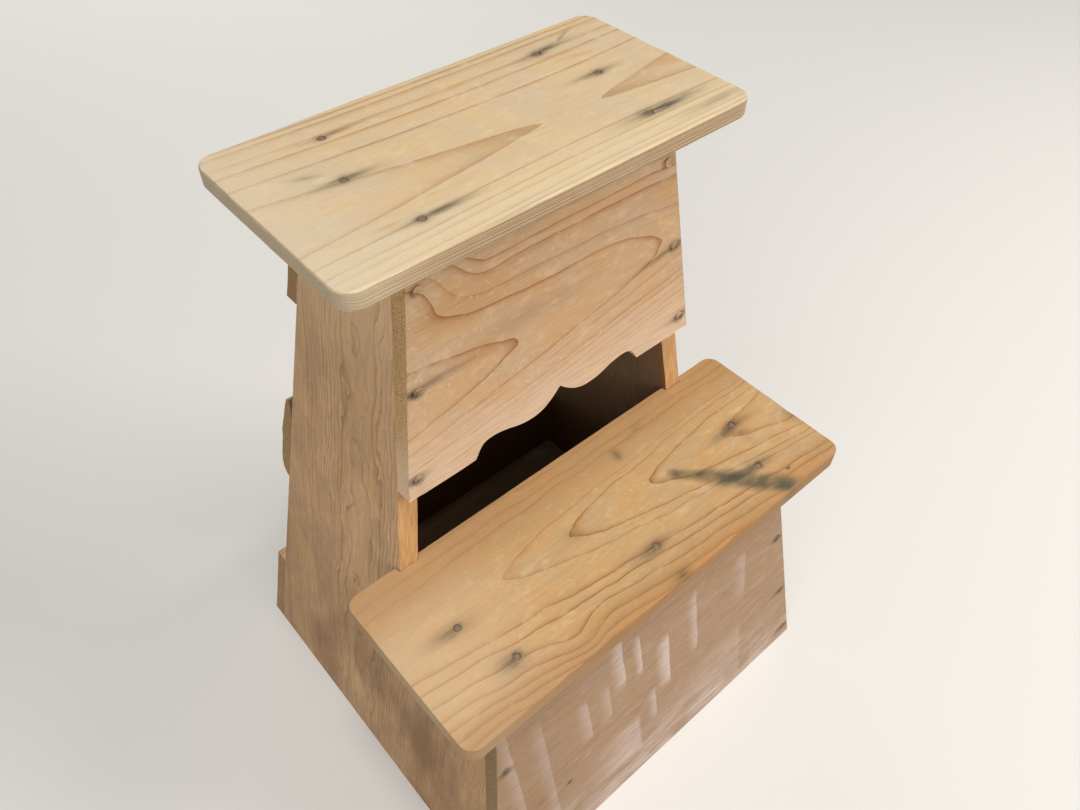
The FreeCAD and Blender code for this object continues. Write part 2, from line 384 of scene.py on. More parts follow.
def scalloped_outline():
    """The upper panel seen from the front, with its shaped lower edge."""
    curve = bpy.data.curves.new("scallop", "CURVE")
    curve.resolution_u = 5
    half = [(u * SCALLOP_HALF, UPPER_PANEL_Z + v * SCALLOP_RISE)
            for u, v in SCALLOP]
    peak = (0, UPPER_PANEL_Z + SCALLOP_RISE)
    for points in ([(-x, z) for x, z in half] + [peak], [peak] + half[::-1]):
        spline = curve.splines.new("BEZIER")
        spline.bezier_points.add(len(points) - 1)
        for spot, (x, z) in zip(spline.bezier_points, points):
            spot.co = (x, z, 0)
            spot.handle_left_type = spot.handle_right_type = "AUTO"
    holder = bpy.data.objects.new("scallop", curve)
    bpy.context.scene.collection.objects.link(holder)
    mesh = settled_mesh(holder)
    path = sorted((v.co.x, v.co.y) for v in mesh.vertices)
    bpy.data.objects.remove(holder)
    bpy.data.meshes.remove(mesh)
    path = [p for i, p in enumerate(path)
            if i == 0 or p[0] - path[i - 1][0] > 0.01]
    low, high = UPPER_PANEL_Z, HEAD_Z
    return [(-outer_x(low), low)] + path + [
        (outer_x(low), low), (outer_x(high), high), (-outer_x(high), high)]


def side(name, sign, seed):
    """A splayed side: one plank, tall at the back and low at the front."""
    bm = flat_face([(-FOOT_BACK, 0), (FOOT_BACK, 0), (HEAD_BACK, HEAD_Z),
                    (HEAD_FRONT, HEAD_Z), (SHOULDER_FRONT, SHOULDER_Z),
                    (LOW_NOSE, SHOULDER_Z)])
    place = in_place((0, 1, 0), (-sign * SIDE_LEAN, 0, 1), (-sign, 0, 0),
                     (sign * FOOT_HALF, 0, 0))
    chips = ((-172, 8, 0, 9, 0.8), (188, 14, 0, 10, 0.7),
             (-28, 330, 0, 7, 0.5), (97, 520, 0, 8, 0.5))
    return board(bm, name, place, SIDE_STEP, 1, seed, 0.45, chips)


def waney_board(name, seed):
    """The middle rail, with the uneven round of the log on its edges."""
    low, high = MIDDLE_RAIL
    section = []
    for out, up in WANEY:
        z = line(up, 0, low, 1, high)
        section.append((back_y(z) + out * RAIL_STEP, z))
    reach = outer_x(low)
    bm = bmesh.new()
    bm.faces.new([bm.verts.new((-reach, y, z)) for y, z in section])
    draw_out(bm, (2 * reach, 0, 0))
    for sign in (-1, 1):
        cut_off = bmesh.ops.bisect_plane(
            bm, geom=everything(bm), dist=1e-4,
            plane_co=(sign * FOOT_HALF, 0, 0), plane_no=(sign, 0, SIDE_LEAN),
            clear_outer=True)
        rim = [g for g in cut_off["geom_cut"]
               if isinstance(g, bmesh.types.BMEdge)]
        bmesh.ops.contextual_create(bm, geom=rim)
    slice_across(bm, 0, 6)
    slice_across(bm, 2, 6)
    outward(bm)
    for vert in bm.verts:
        p = vert.co
        if vert.normal.y > 0.2 or abs(vert.normal.z) > 0.5:
            slow = noise.noise(Vector((p.x / 60 + seed, p.y / 30, p.z / 26)))
            fine = noise.noise(Vector((p.x / 17, p.y / 12, p.z / 9 + seed)))
            depth = max(0, 0.5 + 0.9 * slow + 0.35 * fine)
            vert.co = p - vert.normal * depth
    return finished(bm, Matrix.Scale(MM, 4), name)


def notch_cutter():
    """What the tall sides take out of the back of the lower step."""
    bm = bmesh.new()
    z, high, deep = 297, 60, 40         # its middle, height and depth
    width = SIDE_STEP + 1
    lean_y = tall_y(1) - tall_y(0)
    for sign in (-1, 1):
        made = bmesh.ops.create_cube(bm, size=1)
        shape = in_place(
            (width, 0, 0), (0, deep, 0),
            (-sign * SIDE_LEAN * high, lean_y * high, high),
            (sign * (outer_x(z) - SIDE_STEP / 2), tall_y(z) - 0.5 + 20, z))
        bmesh.ops.transform(bm, matrix=shape, verts=made["verts"])
    return finished(bm, None, "notches")


PIECES = {
    "top_step": tread(
        "top_step", "top_tread", 14, 1.3,
        [(0, -20, 95, 40, 0.35)],
        [(-150, -43, 0, 7, 0.5), (62, -44, 15, 8, 0.6),
         (173, 60, 0, 9, 0.45), (-175, 96, 0, 8, 0.5)]),
    "lower_step": tread(
        "lower_step", "lower_tread", 12, 4.1,
        [(-10, -150, 120, 45, 0.45)],
        [(-120, -184, 0, 8, 0.6), (70, -184, 0, 10, 0.7),
         (215, -120, 0, 9, 0.5), (-215, -60, 0, 9, 0.5)]),
    "left_side": side("left_plank", -1, 7.7),
    "right_side": side("right_plank", 1, 9.2),
    "upper_front_panel": board(
        flat_face(scalloped_outline()), "scalloped_panel",
        leaning(tall_y, -1), UPPER_STEP, 1.2, 2.6, 0.6,
        ((-148, 393, 15, 9, 0.7), (-90, 393, 15, 6, 0.6),
         (140, 392, 15, 8, 0.6), (-138, 470, 15, 7, 0.5))),
    "lower_front_panel": cross_board(
        "plain_panel", low_y, -1, 0, SHOULDER_Z, LOWER_STEP, 1.2, 5.5, 0.6,
        ((-206, 60, 15, 8, 0.7), (204, 70, 15, 7, 0.6))),
    "back_rail_top": cross_board(
        "back_rail_upper", back_y, 1, TOP_RAIL_Z, HEAD_Z, RAIL_STEP, 1,
        3.3),
    "back_rail_bottom": cross_board(
        "back_rail_lower", back_y, 1, 0, BOTTOM_RAIL_Z, RAIL_STEP, 1,
        8.4),
    "back_rail_middle": waney_board("back_rail_waney", 6.6),
}
cut(PIECES["lower_step"], notch_cutter(), "FAST")
for i, (node, (through, nails)) in enumerate(NAILS.items()):
    cut(PIECES[through], pit_cutter(nails))
    PIECES[node] = nail_group(node.replace("_nails", "_nail_heads"),
                              nails, 11 + i)
for piece in PIECES.values():
    shade(piece)


# ---------------- nodes
class Net:
    """Short calls for the nodes of one material or one group."""

    def __init__(self, tree):
        self.tree = tree

    def add(self, kind, inputs=(), **settings):
        """A shader node with its settings, and its inputs fed."""
        node = self.tree.nodes.new("ShaderNode" + kind)
        for key, value in settings.items():
            setattr(node, key, value)
        for key, value in dict(inputs).items():
            self.feed(node.inputs[key], value)
        return node

    def feed(self, socket, value):
        if isinstance(value, bpy.types.NodeSocket):
            self.tree.links.new(value, socket)
        else:
            socket.default_value = value

    def use(self, tree, **values):
        """Places a node group; gives its outputs by name."""
        values = {key.replace("_", " "): v for key, v in values.items()}
        return self.add("Group", values, node_tree=tree).outputs

    def math(self, operation, *values):
        return self.add("Math", enumerate(values),
                        operation=operation).outputs[0]

    def chain(self, operation, values):
        total, *others = values
        for value in others:
            total = self.math(operation, total, value)
        return total

    def sum(self, *values):
        return self.chain("ADD", values)

    def times(self, *values):
        return self.chain("MULTIPLY", values)

    def most(self, *values):
        return self.chain("MAXIMUM", values)

    def minus(self, a, b):
        return self.math("SUBTRACT", a, b)

    def over(self, a, b):
        return self.math("DIVIDE", a, b)

    def vector(self, operation, *values):
        node = self.add("VectorMath", enumerate(values),
                        operation=operation)
        return node.outputs[1 if operation == "DOT_PRODUCT" else 0]

    def split(self, vector):
        return self.add("SeparateXYZ", {0: vector}).outputs

    def join(self, x, y, z):
        return self.add("CombineXYZ", {0: x, 1: y, 2: z}).outputs[0]

    def turned(self, vector, angle):
        return self.add("VectorRotate",
                        {"Vector": vector, "Angle": angle},
                        rotation_type="Z_AXIS").outputs[0]

    def ease(self, value, low, high, to_low=0, to_high=1):
        """Goes gently from to_low to to_high as the value does."""
        node = self.add("MapRange",
                        {"Value": value, "From Min": low, "From Max": high,
                         "To Min": to_low, "To Max": to_high},
                        interpolation_type="SMOOTHSTEP")
        return node.outputs[0]

    def noise(self, vector, sizes, detail=2, rough=0.5, shift=0):
        """Noise whose blobs are about the given sizes, 0 to 1."""
        scaled = self.vector("MULTIPLY_ADD", vector,
                             tuple(1 / s for s in sizes),
                             (shift, shift * 0.7, shift * 0.3))
        return self.plain_noise(scaled, detail, rough)

    def plain_noise(self, vector, detail, rough):
        return self.add("TexNoise",
                        {"Vector": vector, "Scale": 1, "Detail": detail,
                         "Roughness": rough}).outputs[0]

    def facing(self, direction, low, high, both=False):
        """How much the surface faces a direction, or either end of it."""
        normal = self.add("NewGeometry").outputs["Normal"]
        near = self.vector("DOT_PRODUCT", normal, direction)
        if both:
            near = self.math("ABSOLUTE", near)
        return self.ease(near, low, high)

    def mix(self, factor, a, b):
        return self.add("Mix", {0: factor, 6: a, 7: b},
                        data_type="RGBA", clamp_factor=True).outputs[2]


def group(name, inputs, outputs):
    """A new node group; every one has the board's grid as its Vector."""
    tree = bpy.data.node_groups.new(name, "ShaderNodeTree")
    for label, default in {"Vector": (0, 0, 0), **inputs}.items():
        kind = "Vector" if isinstance(default, tuple) else "Float"
        tree.interface.new_socket(
            name=label, in_out="INPUT",
            socket_type="NodeSocket" + kind).default_value = default
    for label in outputs:
        tree.interface.new_socket(name=label, in_out="OUTPUT",
                                  socket_type="NodeSocketFloat")
    source = tree.nodes.new("NodeGroupInput").outputs
    sink = tree.nodes.new("NodeGroupOutput").inputs
    return Net(tree), source, sink


def ring_group():
    """Growth rings of a solid log, cut by the board's faces.

    The vector is in millimetres: X along the grain, Y across the board, Z
    through it.  The rings lie round a heart line under the face at the depth
    Core; where the log bulges or leans, its rings run out as tongues.  Each
    hill in the heart line has a height, and a place and a width.
    """
    hills = ("Bulge", "Dip", "Rise")
    inputs = {"Apex": (0, 0, 0), "Core": 100, "Slope": 0, "Bow": 0,
              "Skew": 0, "Far side": 1, "Pitch": 4, "Inner pitch": 4,
              "Phase": 0, "Crowding": 0.05, "Wander": 3, "Wave": 60,
              "Depth": 1, "Softness": 3.5, "Sharpness": 3, "Curl": 0,
              "Seed": 0}
    for hill in hills:
        inputs[hill] = 0
        inputs[hill + " at"] = (0, 0, 40)
    net, src, out = group("Growth rings", inputs,
                          ("Line", "Soft", "Tone", "Height"))
    vec = src["Vector"]
    x, y, z = net.split(vec)
    # The worn face counts as level, so its figure isn't upset
    z = net.times(net.math("MINIMUM", net.sum(z, 0.9), 0), src["Depth"])
    curl = net.times(net.minus(net.noise(
        vec, (62, 26, 40), 2, 0.5, 1.9), 0.5), src["Curl"], 2)
    wave = net.join(net.over(x, src["Wave"]), net.over(y, 42),
                    net.sum(net.over(z, 60), src["Seed"]))
    slow = net.plain_noise(wave, 2, 0.45)
    quick = net.noise(vec, (16, 11, 15))
    y = net.sum(y, net.times(net.minus(slow, 0.5), src["Wander"], 4),
                net.times(net.minus(quick, 0.5), src["Wander"], 0.45))
    apex_x, apex_y, _ = net.split(src["Apex"])
    u = net.minus(x, apex_x)
    v = net.minus(net.minus(y, apex_y), net.times(u, src["Skew"]))
    v = net.sum(net.times(net.math("MAXIMUM", v, 0), src["Far side"]),
                net.math("MINIMUM", v, 0))
    core = net.sum(src["Core"], net.times(u, src["Slope"], -1),
                   net.times(u, u, src["Bow"], -1), z, curl)
    for hill in hills:
        at_x, at_y, width = net.split(src[hill + " at"])
        du = net.over(net.minus(x, at_x), width)
        dv = net.over(net.minus(y, at_y), net.times(width, 0.6))
        square = net.sum(net.times(du, du), net.times(dv, dv))
        core = net.sum(core, net.times(
            src[hill], net.math("EXPONENT", net.times(square, -1))))
    radius = net.math("SQRT", net.sum(net.times(core, core),
                                      net.times(v, v)))
    gap = net.minus(radius, src["Core"])
    q = net.sum(net.over(net.math("MAXIMUM", gap, 0), src["Pitch"]),
                net.over(net.math("MINIMUM", gap, 0), src["Inner pitch"]),
                src["Phase"])
    q = net.times(q, net.sum(1, net.times(net.math("ABSOLUTE", q),
                                            src["Crowding"])))

    def flicker(w):
        return net.add("TexNoise",
                       {"W": w, "Scale": 0.9, "Detail": 0},
                       noise_dimensions="1D").outputs[0]

    uneven = net.minus(flicker(net.sum(q, src["Seed"])),
                       flicker(src["Seed"]))
    q = net.sum(q, net.times(uneven, 0.7))
    ring = net.math("FLOOR", q)
    part = net.minus(q, ring)
    chance = net.add("TexWhiteNoise",
                     {"W": net.sum(ring, src["Seed"])},
                     noise_dimensions="1D").outputs[0]
    fade = net.noise(vec, (70, 9, 9), 2, 0.6, 5.3)
    strength = net.times(net.ease(chance, -0.7, 0.75),
                         net.ease(fade, 0.25, 0.6, 0.5, 1))
    # Where the rings lie nearly flat in the face, their lines would be wide
    steep = net.over(net.math("ABSOLUTE", v), radius)
    power = net.ease(steep, 0.05, 0.42, src["Softness"], 3.5)
    crisp = net.math("POWER", part, net.times(power, src["Sharpness"]))
    soft = net.math("POWER", part, power)
    net.feed(out["Line"], net.times(crisp, strength))
    net.feed(out["Soft"], net.times(soft, strength))
    net.feed(out["Tone"], net.noise(
        net.join(net.times(q, 0.35), net.over(x, 260), src["Seed"]),
        (1, 1, 1), 1))
    net.feed(out["Height"], net.sum(net.times(crisp, 0.7),
                                    net.times(soft, 0.3)))
    return net.tree


def fibre_group():
    """The short straight fibres of planed softwood, and its small scuffs."""
    net, src, out = group("Wood fibres", {"Seed": 0}, (
        "Streak", "Fleck", "Blotch", "Scuff", "Cloud"))
    vec = net.vector("ADD", src["Vector"],
                     net.join(src["Seed"], src["Seed"], 0))
    net.feed(out["Streak"], net.noise(vec, (26, 0.55, 0.55), 4, 0.65))
    net.feed(out["Fleck"], net.ease(
        net.noise(vec, (5, 0.5, 0.5), 2, 0.6, 9.1), 0.62, 0.76))
    net.feed(out["Blotch"], net.noise(vec, (55, 30, 30), 3, 0.55))
    net.feed(out["Cloud"], net.noise(vec, (14, 9, 9), 3, 0.6, 2.2))
    scuff = net.most(*(
        net.ease(net.noise(net.turned(vec, turn), (9, 0.8, 9), 1, 0.5,
                           shift), 0.7, 0.78)
        for turn, shift in ((0.9, 1.7), (-0.7, 6.4), (1.9, 3.9))))
    patch = net.ease(net.noise(vec, (40, 40, 40), 2, 0.5, 4.4),
                     0.45, 0.62)
    net.feed(out["Scuff"], net.times(scuff, patch))
    return net.tree


def stain_group():
    """The blue-black mark that iron leaves, drawn out along the grain."""
    net, src, out = group("Iron stain", {
        "At": (0, 0, 0), "Length": 18, "Width": 3, "Turn": 0,
        "Strength": 1}, ("Stain",))
    gap = net.turned(net.vector("SUBTRACT", src["Vector"], src["At"]),
                     src["Turn"])
    x, y, _ = net.split(gap)
    du = net.math("ABSOLUTE", net.over(x, src["Length"]))
    dv = net.over(y, src["Width"])
    near = net.math("EXPONENT", net.times(
        net.sum(net.math("POWER", du, 1.6), net.times(dv, dv)), -1))
    ragged = net.noise(src["Vector"], (22, 1.4, 3), 3, 0.6)
    depth = net.split(src["Vector"])[2]
    net.feed(out["Stain"], net.times(
        near, net.ease(ragged, 0.2, 0.62, 0.45, 1.1),
        net.ease(depth, -7, -2.5), src["Strength"]))
    return net.tree


def stroke_group():
    """One pale stroke of a saw: it fades in and stops at a sharp edge."""
    net, src, out = group("Saw stroke", {
        "Edge": 0, "Width": 14, "Middle": 0, "Reach": 30,
        "Strength": 1}, ("Stroke",))
    x, y, z = net.split(src["Vector"])
    above = net.minus(y, src["Middle"])
    wobble = net.noise(src["Vector"], (60, 26, 30))
    edge = net.sum(src["Edge"], net.times(net.minus(wobble, 0.5), 4),
                   net.times(above, -0.03))
    back = net.over(net.minus(edge, x), src["Width"])
    far = net.over(net.math("ABSOLUTE", above), src["Reach"])
    hairs = net.noise(src["Vector"], (20, 1.2, 4), 3, 0.6)
    net.feed(out["Stroke"], net.times(
        net.ease(back, 0, 0.06), net.ease(back, 0, 1, 1, 0),
        net.ease(far, 0.7, 1.1, 1, 0),
        net.ease(hairs, 0.3, 0.65, 0.35, 1), net.ease(z, -4.5, -2),
        src["Strength"]))
    return net.tree


RINGS, FIBRES = ring_group(), fibre_group()
STAIN, STROKE = stain_group(), stroke_group()


# ---------------- colours
def srgb(r, g, b):
    """A colour given in screen values, 0 to 255."""
    def linear(c):
        c /= 255
        return c / 12.92 if c < 0.04045 else ((c + 0.055) / 1.055) ** 2.4
    return (linear(r), linear(g), linear(b), 1)


def palette(base=(), **values):
    """The base with changes: colours in screen values, and amounts."""
    return dict(base, **{key: srgb(*v) if isinstance(v, tuple) else v
                         for key, v in values.items()})


PALE = palette(
    early=(206, 182, 142), warm=(210, 177, 128), other=(200, 180, 148),
    late=(172, 126, 78), latest=(140, 92, 50), pale=(220, 204, 174),
    end=(164, 138, 100), end_dark=(104, 80, 54), iron=(56, 50, 42),
    edge=(168, 140, 110), tone=0.6, soft=0.6, line=0.75, hair=0.3,
    bloom=0.25, fleck=0.2, scuff=0.35, rub=0.05, relief=0.6)
HONEY = palette(
    PALE, early=(189, 154, 107), warm=(183, 146, 95), other=(177, 151, 111),
    late=(158, 104, 48), latest=(130, 72, 24), pale=(214, 188, 150),
    end=(166, 134, 88), end_dark=(112, 84, 50), iron=(58, 56, 46),
    edge=(168, 126, 78), soft=0.45, line=0.95, hair=0.4, scuff=0.9, rub=0.3)
BROWN = palette(
    PALE, early=(214, 178, 136), warm=(205, 166, 120), other=(190, 158, 122),
    late=(158, 114, 74), latest=(116, 76, 44), pale=(220, 190, 152),
    end=(178, 142, 94), end_dark=(116, 88, 56), edge=None, tone=1,
    soft=0.6, line=0.7, hair=0.6, rub=0.4)
PINK = palette(
    BROWN, early=(198, 166, 127), warm=(192, 152, 108),
    other=(190, 164, 134), late=(172, 122, 72), latest=(134, 80, 38),
    pale=(224, 200, 172), end=(218, 180, 122), end_dark=(146, 110, 64),
    soft=0.6, line=1, hair=0.5, scuff=1, rub=0.5)
SAWN = palette(
    BROWN, early=(174, 145, 115), warm=(171, 137, 104),
    other=(170, 145, 121), late=(148, 113, 84), latest=(122, 90, 64),
    pale=(208, 188, 170), end=(164, 134, 92), end_dark=(112, 86, 56),
    white=(216, 200, 194), soft=0.5, line=0.5, hair=0.75, bloom=0.15,
    fleck=0.35, scuff=0.2, rub=0.55)
# The darkest browns are painted shade: on the inner faces, at the back of the
# lower step and at the foot of the sides
TINTS = palette(
    dusty=(96, 72, 50), dusty_light=(120, 92, 64), faded=(204, 177, 142),
    handled=(158, 116, 72), resin=(190, 118, 44), warm_edge=(190, 126, 58),
    tar=(84, 78, 60), bleached=(224, 205, 166), grey_end=(208, 192, 166),
    amber=(192, 140, 74), rosy=(214, 186, 158), fresh=(214, 170, 118),
    fresh_dark=(194, 142, 88), sunned=(222, 192, 154), damp=(118, 86, 58),
    iron=(134, 118, 100), rust=(128, 98, 70), scale=(82, 70, 58))


# ---------------- materials
def start_material(name):
    """A material without nodes, its net, and a place on it in metres."""
    material = bpy.data.materials.new(name)
    material.use_nodes = True
    material.node_tree.nodes.clear()
    net = Net(material.node_tree)
    return material, net, net.add("TexCoord").outputs["Object"]


def end_material(net, height, bump, distance, **looks):
    """The shader of a material, its relief and its output."""
    relief = net.add("Bump", {"Strength": bump, "Height": height,
                                        "Distance": distance})
    looks = {key.replace("_", " "): value for key, value in looks.items()}
    shader = net.add("BsdfPrincipled",
                     dict(looks, Normal=relief.outputs[0]))
    last = net.add("OutputMaterial")
    net.feed(last.inputs["Surface"], shader.outputs[0])


def stain(net, grid, x, y, length, width, strength, turn=0):
    """The mask of one stain at a place on the show face."""
    return net.use(STAIN, Vector=grid, At=(x, y, 0), Length=length,
                   Width=width, Turn=turn, Strength=strength)["Stain"]


def stained(net, grid, colour, places, tint, strength):
    """Soft streaks of one tint: (x, y, length, width, turn) each."""
    for x, y, length, width, turn in places:
        mask = stain(net, grid, x, y, length, width, strength, turn)
        colour = net.mix(mask, colour, TINTS[tint])
    return colour


def cedar(name, lay, grain, inside, rings, look, marks, extra):
    """One board's material.

    lay: how its grain lies. grain: the way it runs. inside: the way the
    inner face looks, if it has one; it is painted dark as shade. marks:
    the stains round its nails. extra: what else that board shows.
    """
    material, net, place = start_material(name)
    grid = net.add("Mapping",
                   {"Vector": place, "Rotation": lay[0], "Location": lay[1],
                    "Scale": (1 / MM, 1 / MM, 1 / MM)}).outputs[0]
    ring = net.use(RINGS, Vector=grid, **rings)
    fibres = net.use(FIBRES, Vector=grid,
                     Seed=rings.get("Seed", 0) * 17)
    soft, streak = ring["Soft"], fibres["Streak"]
    blotch, cloud = fibres["Blotch"], fibres["Cloud"]

    colour = look["early"]
    for mask, amount, tint in (
            (net.ease(ring["Tone"], 0.35, 0.65), look["tone"], "warm"),
            (net.ease(blotch, 0.35, 0.7), 1, "other"),
            (soft, look["soft"], "late"),
            (ring["Line"], look["line"], "latest"),
            (net.ease(streak, 0.35, 0.7), look["hair"], "late"),
            (net.ease(cloud, 0.5, 0.75), look["bloom"], "pale"),
            (fibres["Fleck"], look["fleck"], "latest"),
            (fibres["Scuff"], look["scuff"], "pale")):
        colour = net.mix(net.times(mask, amount), colour, look[tint])

    end = net.facing(grain, 0.55, 0.9, both=True)
    pores = net.noise(grid, (1.4, 1.1, 1.1), 3, 0.7, 3.3)
    end_colour = net.mix(net.ease(pores, 0.35, 0.65), look["end"],
                         look["end_dark"])
    colour = net.mix(net.times(end, 0.82), colour, end_colour)
    colour = net.mix(net.times(end, soft, 0.55), colour, look["end_dark"])
    inner = 0
    # Painted shade: the inner face, inside the stool, is darkened to a deep
    # brown
    if inside:
        inner = net.facing(inside, 0.5, 0.85)
        colour = net.mix(net.times(inner, 0.8), colour, net.mix(
            blotch, TINTS["dusty"], TINTS["dusty_light"]))
    if look["edge"]:
        front = net.facing(FRONT, 0.5, 0.95)
        colour = net.mix(net.times(front, 0.6), colour, look["edge"])
        colour = net.mix(net.times(front, soft), colour, look["end_dark"])

    arris = net.add("Attribute", attribute_name="arris",
                    attribute_type="GEOMETRY").outputs["Fac"]
    rub = net.ease(net.sum(arris, net.times(net.minus(cloud, 0.5), 0.9)),
                   0.55, 1.05)
    colour = net.mix(net.times(rub, look["rub"]), colour, look["pale"])
    grime = net.noise(grid, (9, 7, 7), 3, 0.7, 8.8)
    grime = net.times(net.ease(grime, 0.55, 0.72), arris, 0.35)
    colour = net.mix(grime, colour, look["end_dark"])
    if extra:
        colour = extra(net, grid, colour)
    if marks:
        dark = net.most(*(stain(net, grid, *mark) for mark in marks))
        dark = net.times(net.math("MINIMUM", dark, 0.93),
                         net.minus(1, net.times(end, 0.9)))
        colour = net.mix(dark, colour, look["iron"])

    grit = net.noise(grid, (0.6, 0.6, 0.6), 3, 0.7)
    end_material(
        net,
        net.sum(net.times(ring["Height"], look["relief"]),
                net.times(streak, 0.35), net.times(fibres["Fleck"], -0.35),
                net.times(fibres["Scuff"], -0.5),
                net.times(grit, net.sum(net.times(end, 1.2), 0.12))),
        0.7, 0.0004, Base_Color=colour,
        Roughness=net.sum(0.6, net.times(streak, 0.16),
                          net.times(soft, -0.07), net.times(rub, 0.12),
                          net.times(inner, 0.25)),
        Specular_IOR_Level=0.25)
    return material


def nail_iron(name):
    """Old wire nails: dark, rusty in patches, worn a little brighter."""
    material, net, place = start_material(name)
    grid = net.vector("MULTIPLY", place, (1 / MM, 1 / MM, 1 / MM))
    patch = net.noise(grid, (2.4, 2.4, 2.4), 4, 0.65)
    grain = net.noise(grid, (0.5, 0.5, 0.5), 3, 0.6, 4)
    rust = net.ease(patch, 0.42, 0.62)
    colour = net.mix(rust, TINTS["iron"], TINTS["rust"])
    colour = net.mix(net.ease(grain, 0.45, 0.75), colour, TINTS["scale"])
    end_material(net, net.sum(net.times(patch, 0.6), net.times(grain, 0.5)),
                 0.5, 0.0002, Base_Color=colour,
                 Roughness=net.ease(patch, 0.2, 0.8, 0.42, 0.85),
                 Metallic=net.ease(rust, 0, 1, 0.3, 0.05))
    return material


# ---------------- figure
ALONG_X, ALONG_Z = (1, 0, 0), (0, 0, 1)
FRONT, BACK = (0, -1, 0), (0, 1, 0)
LEFT, RIGHT = (-1, 0, 0), (1, 0, 0)


def lean_of(edge):
    """The angle from upright of an edge line given by its height."""
    return math.atan(abs(edge(1) - edge(0)))


UPRIGHT = math.pi / 2
# How a board's grain lies: the turn and the shift that bring its place to
# (along the grain, across the board, above its show face)
TOP_LAY = ((0, 0, 0), (0, 0, -606))
LOWER_LAY = ((0, 0, 0), (0, 0, -306))
UPPER_LAY = ((lean_of(tall_y) - UPRIGHT, 0, 0), (0, 4.4, -71.5))
PLAIN_LAY = ((lean_of(low_y) - UPRIGHT, 0, 0), (0, 35.4, -202.2))
LEFT_LAY = ((0, UPRIGHT - lean_of(outer_x), 0), (34.7, 0, -212.2))
RIGHT_LAY = ((0, lean_of(outer_x) - UPRIGHT, 0), (-34.7, 0, -212.2))
RAIL_LAY = ((UPRIGHT - lean_of(back_y), 0, 0), (0, -31.6, -202.8))

TOP_RINGS = dict(
    Apex=(58, 24, 0), Core=112, Bow=0.00005, Far_side=0.62,
    Phase=0.0098, Crowding=0.03, Wander=1.3, Wave=150, Depth=2,
    Softness=22, Sharpness=1.6, Seed=2)
LOWER_RINGS = dict(
    Apex=(-107, -90, 0), Core=176, Slope=0.0187, Skew=-0.062,
    Pitch=3.7, Inner_pitch=1.55, Crowding=0, Wander=2.8, Wave=55,
    Softness=7.5, Sharpness=1.6, Curl=0.35, Dip=-3.6,
    Dip_at=(-100, -168, 26), Bulge=1.3,
    Bulge_at=(-55, -162, 24), Seed=5)
UPPER_RINGS = dict(
    Apex=(-42, 480, 0), Core=90, Slope=-0.03, Skew=0.085,
    Far_side=0.65, Crowding=0.02, Wander=1.4, Wave=70, Dip=2,
    Dip_at=(-66, 556, 26), Bulge=-1.3, Bulge_at=(50, 505, 38),
    Rise=-17, Rise_at=(-132, 572, 50), Softness=7, Sharpness=2.2,
    Curl=0.5, Seed=3)
PLAIN_RINGS = dict(
    Apex=(0, -60, 0), Core=40, Bow=-0.0004, Pitch=6.5, Crowding=0,
    Wander=1.6, Wave=120, Seed=8)
SIDE_RINGS = dict(
    Apex=(470, 30, 0), Core=60, Slope=-0.012, Pitch=2.7,
    Crowding=0, Wander=3.5, Wave=75, Bulge=2.5,
    Bulge_at=(440, 30, 45), Dip=-2.5, Dip_at=(270, 20, 50),
    Softness=9, Sharpness=1.6, Curl=6.5, Seed=4)
RIGHT_RINGS = dict(
    SIDE_RINGS, Apex=(-500, 30, 0), Slope=0.012,
    Bulge_at=(-380, 30, 45), Dip_at=(-180, 20, 50), Seed=14)
RAIL_RINGS = dict(
    Core=60, Slope=0.02, Pitch=4.2, Wander=2, Wave=90, Softness=7,
    Curl=2)

# Stains on each board: x, y, length, width, strength, and the odd turn
TOP_MARKS = (
    (-95.5, 105.6, 5.5, 3.4, 0.9), (-86, 106.5, 19, 2.2, 0.65),
    (-111, 54, 7, 4.2, 0.95), (-109, 54, 19, 3.4, 0.8, 0.05),
    (-97.7, -11.5, 6.5, 4.2, 0.95), (-84, -11.5, 24, 3.2, 0.8),
    (95.5, 105.6, 9, 5, 0.95), (104, 107.5, 21, 3.6, 0.8, -0.12),
    (125, 113, 18, 2, 0.5, -0.5), (111, 54, 8.5, 4.6, 0.95),
    (108, 54.5, 18, 3.4, 0.75), (97.7, -11.5, 12, 5.6, 0.97),
    (113, -12.5, 32, 4.8, 0.88), (-129, 71, 9, 3, 0.4, 0.3),
    (150, -30, 34, 4, 0.4))
LOWER_MARKS = (
    (-160.5, -99.7, 6.5, 4.8, 0.95), (-166, -99.5, 18, 6.5, 0.62, 0.1),
    (-141.2, -147.3, 6.5, 5, 0.95), (-146, -149, 13, 7.5, 0.6, 0.1),
    (10, -147.3, 8.5, 5.2, 0.95), (6, -147.5, 17, 6, 0.72),
    (6, -181, 9, 5, 0.62), (53, -57, 4.5, 7, 0.6, 0.2),
    (88, -45, 8, 3.5, 0.3, -0.4), (160.5, -99.7, 9, 4.8, 0.93),
    (157, -102, 22, 5, 0.8, -0.05), (160, -115, 5, 12, 0.25),
    (141.2, -147.3, 9, 5.2, 0.95), (134, -146, 24, 5, 0.8, 0.12),
    (-35, -95, 10, 7, 0.22), (159, -167, 2.2, 1.6, 0.9),
    (212, -128, 7, 9, 0.4))
UPPER_MARKS = (
    (-130, 487.5, 9, 4.2, 0.95), (-108, 489, 34, 3.8, 0.5),
    (-20, 500, 60, 10, 0.2), (-142, 409.9, 9, 4.2, 0.95),
    (128, 486, 9, 4.2, 0.95), (112, 484, 26, 3, 0.6, -0.14),
    (140, 409, 10, 4.4, 0.95, -0.14), (-117, 565, 5, 3.2, 0.35),
    (117, 565, 5, 3.2, 0.35))
